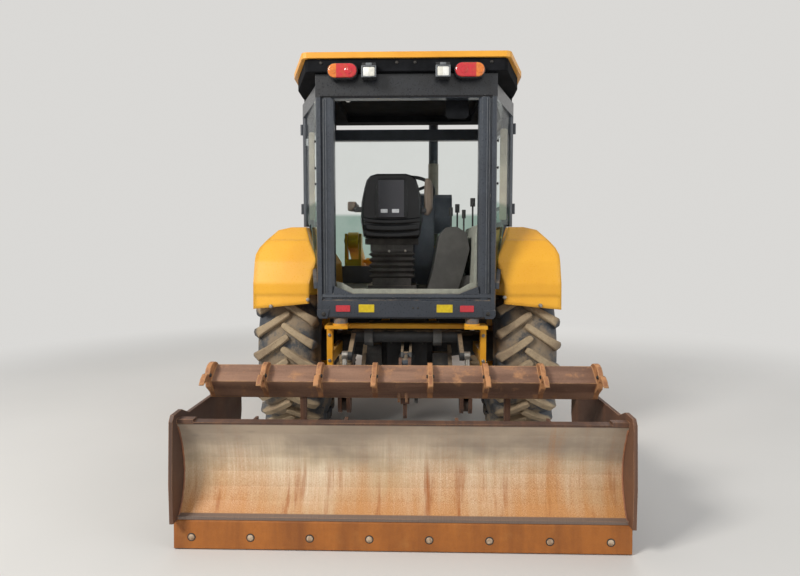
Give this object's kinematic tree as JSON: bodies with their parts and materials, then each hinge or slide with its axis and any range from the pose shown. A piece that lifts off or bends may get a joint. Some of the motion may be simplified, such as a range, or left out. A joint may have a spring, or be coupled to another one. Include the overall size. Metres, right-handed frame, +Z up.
{
  "type": "landscape loader with rear box scraper",
  "caption": "Wheeled landscape loader: cab, front bucket on two arms, rear three-point hitch with a box scraper and a folding ripper bar.",
  "frame": {"origin": "ground level under the middle of the machine's bounding box, bucket and scraper down", "axes": "+Y forwards, +X to the machine's right, +Z up"},
  "size_m": [2.166, 6.111, 2.7576],
  "materials": {
    "yellow": "gloss",
    "dark": "satin",
    "black": "matte",
    "grey": "satin",
    "rust": "rusty",
    "steel": "ground",
    "rubber": "worn",
    "glass": "clear",
    "plastic_yellow": "gloss",
    "seat_cloth": "woven",
    "iron": "painted grey"
  },
  "bodies": {
    "chassis": {"main_frame": "yellow", "tow_plate": "yellow", "transaxle": "iron", "engine": "iron", "hood": "yellow", "grille": "black", "front_axle": "dark", "towers": "yellow", "fenders": "yellow", "cab_rear": "dark", "cab_sides": "dark", "cab_front": "dark", "cab_floor": "dark", "cab_mounts": "yellow", "roof_cap": "plastic_yellow", "roof_liner": "black", "cab_glass": "glass", "seat": "seat_cloth", "seat_base": "dark", "consoles": "black", "dash": "black", "exhaust": "dark", "rear_lamps": "black", "side_tanks": "black", "hitch_bracket": "grey"},
    "rear_wheel_left": {"tyre_rear_left": "rubber", "rim_rear_left": "yellow"},
    "rear_wheel_right": {"tyre_rear_right": "rubber", "rim_rear_right": "yellow"},
    "front_wheel_left": {"tyre_front_left": "rubber", "rim_front_left": "yellow"},
    "front_wheel_right": {"tyre_front_right": "rubber", "rim_front_right": "yellow"},
    "knuckle_left": {"knuckle_left": "dark"},
    "knuckle_right": {"knuckle_right": "dark"},
    "tie_rod": {"tie_rod": "steel"},
    "door_left": {"door_left": "dark", "door_glass_left": "glass"},
    "door_right": {"door_right": "dark", "door_glass_right": "glass"},
    "boom": {"boom": "yellow"},
    "bucket": {"bucket": "yellow"},
    "lift_barrels": {"lift_barrels": "yellow"},
    "lift_rods": {"lift_rods": "steel"},
    "bucket_barrels": {"bucket_barrels": "yellow"},
    "bucket_rods": {"bucket_rods": "steel"},
    "bucket_levers": {"bucket_levers": "yellow"},
    "bucket_links": {"bucket_links": "yellow"},
    "rockshaft": {"rockshaft": "rust"},
    "lift_links": {"lift_links": "steel"},
    "lower_links": {"lower_links": "dark"},
    "top_link": {"top_link": "dark"},
    "box": {"box_shell": "rust", "box_edge": "rust"},
    "ripper": {"ripper_bar": "rust"}
  },
  "joints": [
    {"name": "rear_wheel_left", "type": "hinge", "parent": "chassis", "child": "rear_wheel_left", "pos_m": [-0.855, -0.9325, 0.665], "axis": [1, 0, 0], "continuous": true},
    {"name": "rear_wheel_right", "type": "hinge", "parent": "chassis", "child": "rear_wheel_right", "pos_m": [0.855, -0.9325, 0.665], "axis": [1, 0, 0], "continuous": true},
    {"name": "steer_left", "type": "hinge", "parent": "chassis", "child": "knuckle_left", "pos_m": [-0.59, 1.1975, 0.42], "axis": [0, 0, 1], "range_deg": [-35, 35]},
    {"name": "front_wheel_left", "type": "hinge", "parent": "knuckle_left", "child": "front_wheel_left", "pos_m": [-0.79, 1.1975, 0.42], "axis": [1, 0, 0], "continuous": true},
    {"name": "steer_right", "type": "hinge", "parent": "chassis", "child": "knuckle_right", "pos_m": [0.59, 1.1975, 0.42], "axis": [0, 0, 1], "range_deg": [-35, 35]},
    {"name": "front_wheel_right", "type": "hinge", "parent": "knuckle_right", "child": "front_wheel_right", "pos_m": [0.79, 1.1975, 0.42], "axis": [1, 0, 0], "continuous": true},
    {"name": "tie_rod_slide", "type": "slide", "parent": "chassis", "child": "tie_rod", "axis": [1, 0, 0], "range_m": [-0.115, 0.115]},
    {"name": "door_left", "type": "hinge", "parent": "chassis", "child": "door_left", "pos_m": [-0.82, -1.0325, 1.8], "axis": [0, 0, 1], "range_deg": [0, 75]},
    {"name": "door_right", "type": "hinge", "parent": "chassis", "child": "door_right", "pos_m": [0.82, -1.0325, 1.8], "axis": [0, 0, -1], "range_deg": [0, 75]},
    {"name": "boom_lift", "type": "hinge", "parent": "chassis", "child": "boom", "pos_m": [0, 0.1875, 1.5], "axis": [1, 0, 0], "range_deg": [0, 70]},
    {"name": "lift_barrel_swing", "type": "hinge", "parent": "chassis", "child": "lift_barrels", "pos_m": [0, 0.2175, 0.48], "axis": [1, 0, 0], "range_deg": [-0.01, 16.19]},
    {"name": "lift_rod_slide", "type": "slide", "parent": "lift_barrels", "child": "lift_rods", "axis": [0, 0.599, 0.8007], "range_m": [-0.002, 0.6902]},
    {"name": "bucket_tilt", "type": "hinge", "parent": "boom", "child": "bucket", "pos_m": [0, 2.1575, 0.29], "axis": [1, 0, 0], "range_deg": [-100, 30]},
    {"name": "crank_swing", "type": "hinge", "parent": "boom", "child": "bucket_levers", "pos_m": [0, 1.6325, 0.965], "axis": [1, 0, 0], "range_deg": [-101, 31]},
    {"name": "bucket_link_swing", "type": "hinge", "parent": "bucket_levers", "child": "bucket_links", "pos_m": [0, 1.67591, 1.2112], "axis": [1, 0, 0], "range_deg": [-31, 101]},
    {"name": "bucket_barrel_swing", "type": "hinge", "parent": "boom", "child": "bucket_barrels", "pos_m": [0, 0.7075, 1.29], "axis": [1, 0, 0], "range_deg": [-0.85, 2.81]},
    {"name": "bucket_rod_slide", "type": "slide", "parent": "bucket_barrels", "child": "bucket_rods", "axis": [0, 0.9757, -0.219], "range_m": [-0.0701, 0.2289]},
    {"name": "hitch_lift", "type": "hinge", "parent": "chassis", "child": "lower_links", "pos_m": [0, -1.3325, 0.5], "axis": [-1, 0, 0], "range_deg": [0, 21]},
    {"name": "box_level", "type": "hinge", "parent": "lower_links", "child": "box", "pos_m": [0, -2.0025, 0.44], "axis": [1, 0, 0], "range_deg": [-0.01, 8.17]},
    {"name": "top_link_swing", "type": "hinge", "parent": "chassis", "child": "top_link", "pos_m": [0, -1.5325, 0.665], "axis": [-1, 0, 0], "range_deg": [-0.01, 31.71]},
    {"name": "rockshaft_turn", "type": "hinge", "parent": "chassis", "child": "rockshaft", "pos_m": [0, -1.4525, 0.797], "axis": [-1, 0, 0], "range_deg": [-0.01, 35.14]},
    {"name": "lift_link_swing", "type": "hinge", "parent": "rockshaft", "child": "lift_links", "pos_m": [0, -1.7125, 0.7], "axis": [1, 0, 0], "range_deg": [-0.01, 42.31]},
    {"name": "ripper_swing", "type": "hinge", "parent": "box", "child": "ripper", "pos_m": [0, -2.2025, 0.62], "axis": [1, 0, 0], "range_deg": [0, 92]}
  ],
  "couplings": [
    {"joint": "steer_right", "follows": "steer_left", "ratio": 1},
    {"joint": "tie_rod_slide", "follows": "steer_left", "m_per_rad": 0.172},
    {"joint": "lift_barrel_swing", "follows": "boom_lift", "ratio": 0.2266},
    {"joint": "lift_rod_slide", "follows": "boom_lift", "m_per_rad": 0.55769},
    {"joint": "crank_swing", "follows": "bucket_tilt", "ratio": 1},
    {"joint": "bucket_link_swing", "follows": "bucket_tilt", "ratio": -1},
    {"joint": "bucket_barrel_swing", "follows": "bucket_tilt", "ratio": -0.0275},
    {"joint": "bucket_rod_slide", "follows": "bucket_tilt", "m_per_rad": -0.1287},
    {"joint": "box_level", "follows": "hitch_lift", "ratio": 0.381},
    {"joint": "top_link_swing", "follows": "hitch_lift", "ratio": 1.48},
    {"joint": "rockshaft_turn", "follows": "hitch_lift", "ratio": 1.64},
    {"joint": "lift_link_swing", "follows": "hitch_lift", "ratio": 1.975}
  ]
}
